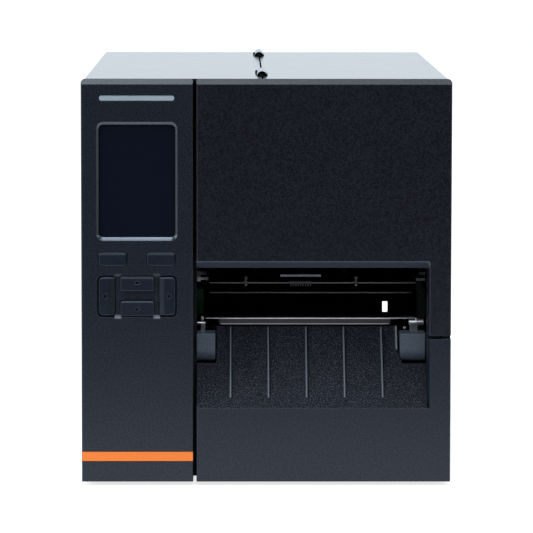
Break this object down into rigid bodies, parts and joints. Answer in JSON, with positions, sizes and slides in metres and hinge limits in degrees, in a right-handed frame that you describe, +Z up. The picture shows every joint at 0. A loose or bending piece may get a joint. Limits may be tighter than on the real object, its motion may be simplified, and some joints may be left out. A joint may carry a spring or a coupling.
{
  "type": "label printer",
  "caption": "Desktop industrial thermal label printer with colour screen, key pad, clamshell media cover, print mechanism, tear bar and label exit ramp.",
  "frame": {"origin": "on the surface that the printer stands on, under the middle of its case", "axes": "+Z up, +X to the right seen from the front, +Y from the front face to the back"},
  "size_m": [0.248, 0.4363, 0.2774],
  "materials": {
    "dark_shell": "satin fine-textured powder coat",
    "dark_moulding": "fine-grained matt moulding",
    "ramp_moulding": "coarse-grained matt moulding",
    "key_moulding": "smooth matt",
    "grey_moulding": "smooth matt",
    "black_moulding": "matt",
    "orange": "satin",
    "light": "diffusing",
    "screen": "gloss, unlit",
    "window": "smoked clear plastic",
    "frame_metal": "black-coated casting",
    "steel": "plain",
    "black_steel": "black coated",
    "bright": "polished",
    "brass": "plain",
    "rubber": "matt",
    "board": "solder mask",
    "gear": "natural acetal"
  },
  "bodies": {
    "case": {"feet": "rubber", "base_pan": "dark_shell", "mid_frame": "frame_metal", "left_cover": "dark_shell", "rear_panel": "dark_shell", "base_side_panel": "dark_shell", "lower_front_panel": "dark_moulding", "exit_ramp": "ramp_moulding", "control_panel": "dark_moulding", "accent_stripe": "orange", "status_light": "light", "screen_glass": "screen", "display_module": "black_moulding", "keypad_board": "board", "hinge_leaves_fixed": "black_steel", "hinge_pins": "brass", "mech_bracket_left": "black_steel", "mech_bracket_right": "black_steel", "media_deck": "black_steel", "sensor_bridge": "black_moulding", "sensor_board": "board", "tear_bar": "steel", "platen_cap_left": "grey_moulding", "platen_cap_right": "grey_moulding", "bracket_studs": "bright", "platen_bearings": "brass", "stepper_motor": "black_steel", "motor_bracket": "steel", "head_pivot_shaft": "steel", "media_spindle": "black_moulding", "main_board": "board", "interface_ports": "steel", "power_supply": "steel", "power_inlet": "black_moulding"},
    "media_cover": {"cover_shell": "dark_shell", "cover_fascia": "dark_moulding", "cover_window": "window", "hinge_leaves_cover": "black_steel"},
    "platen": {"platen_roller": "rubber", "platen_shaft": "steel", "platen_gear": "gear"},
    "idler": {"idler_gear": "gear"},
    "pinion": {"motor_pinion": "brass"},
    "head": {"head_carriage": "frame_metal", "printhead": "black_moulding", "head_front_bar": "black_steel"},
    "pressure_lever": {"head_lever": "grey_moulding"},
    "takeup_spindle": {"ribbon_takeup_spindle": "grey_moulding"},
    "supply_spindle": {"ribbon_supply_spindle": "grey_moulding"},
    "roll_guide": {"media_guide": "grey_moulding"},
    "web_damper": {"media_damper": "steel"},
    "edge_guide": {"media_edge_guide": "grey_moulding"},
    "rocker": {"power_switch": "black_moulding"},
    "soft_key_left_cap": {"soft_key_left": "key_moulding"},
    "soft_key_right_cap": {"soft_key_right": "key_moulding"},
    "key_left_cap": {"key_left": "key_moulding"},
    "key_right_cap": {"key_right": "key_moulding"},
    "key_up_cap": {"key_up": "key_moulding"},
    "key_down_cap": {"key_down": "key_moulding"}
  },
  "joints": [
    {"name": "cover_hinge", "type": "hinge", "parent": "case", "child": "media_cover", "pos_m": [-0.0027, -0.008, 0.274], "axis": [0, -1, 0], "range_deg": [0, 130]},
    {"name": "platen_spin", "type": "hinge", "parent": "case", "child": "platen", "pos_m": [0.02, -0.161, 0.1015], "axis": [1, 0, 0], "continuous": true},
    {"name": "idler_spin", "type": "hinge", "parent": "case", "child": "idler", "pos_m": [-0.054, -0.13587, 0.07155], "axis": [1, 0, 0], "continuous": true},
    {"name": "pinion_spin", "type": "hinge", "parent": "case", "child": "pinion", "pos_m": [-0.054, -0.10476, 0.06023], "axis": [1, 0, 0], "continuous": true},
    {"name": "head_tilt", "type": "hinge", "parent": "case", "child": "head", "pos_m": [0.02, -0.04, 0.131], "axis": [-1, 0, 0], "range_deg": [0, 25]},
    {"name": "lever_turn", "type": "hinge", "parent": "case", "child": "pressure_lever", "pos_m": [0.02, -0.068, 0.16632], "axis": [1, 0, 0], "range_deg": [0, 75]},
    {"name": "takeup_spin", "type": "hinge", "parent": "case", "child": "takeup_spindle", "pos_m": [0.02, -0.13, 0.215], "axis": [1, 0, 0], "continuous": true},
    {"name": "supply_spin", "type": "hinge", "parent": "case", "child": "supply_spindle", "pos_m": [0.02, -0.022, 0.215], "axis": [1, 0, 0], "continuous": true},
    {"name": "roll_guide_slide", "type": "slide", "parent": "case", "child": "roll_guide", "axis": [1, 0, 0], "range_m": [-0.09, 0.008]},
    {"name": "edge_guide_slide", "type": "slide", "parent": "case", "child": "edge_guide", "axis": [1, 0, 0], "range_m": [-0.066, 0.005]},
    {"name": "damper_swing", "type": "hinge", "parent": "case", "child": "web_damper", "pos_m": [-0.041, 0.018, 0.073], "axis": [-1, 0, 0], "range_deg": [0, 25], "stiffness_Nm_per_rad": 0.05},
    {"name": "rocker_tilt", "type": "hinge", "parent": "case", "child": "rocker", "pos_m": [-0.092, 0.21, 0.056], "axis": [1, 0, 0], "range_deg": [0, 16]},
    {"name": "soft_key_left_press", "type": "slide", "parent": "case", "child": "soft_key_left_cap", "axis": [0, 1, 0], "range_m": [0, 0.0008], "stiffness_N_per_m": 300},
    {"name": "soft_key_right_press", "type": "slide", "parent": "case", "child": "soft_key_right_cap", "axis": [0, 1, 0], "range_m": [0, 0.0008], "stiffness_N_per_m": 300},
    {"name": "key_left_press", "type": "slide", "parent": "case", "child": "key_left_cap", "axis": [0, 1, 0], "range_m": [0, 0.0008], "stiffness_N_per_m": 300},
    {"name": "key_right_press", "type": "slide", "parent": "case", "child": "key_right_cap", "axis": [0, 1, 0], "range_m": [0, 0.0008], "stiffness_N_per_m": 300},
    {"name": "key_up_press", "type": "slide", "parent": "case", "child": "key_up_cap", "axis": [0, 1, 0], "range_m": [0, 0.0008], "stiffness_N_per_m": 300},
    {"name": "key_down_press", "type": "slide", "parent": "case", "child": "key_down_cap", "axis": [0, 1, 0], "range_m": [0, 0.0008], "stiffness_N_per_m": 300}
  ],
  "couplings": [
    {"joint": "idler_spin", "follows": "platen_spin", "ratio": -0.73333},
    {"joint": "pinion_spin", "follows": "platen_spin", "ratio": 1.5714},
    {"joint": "lever_turn", "follows": "head_tilt", "ratio": 3}
  ]
}
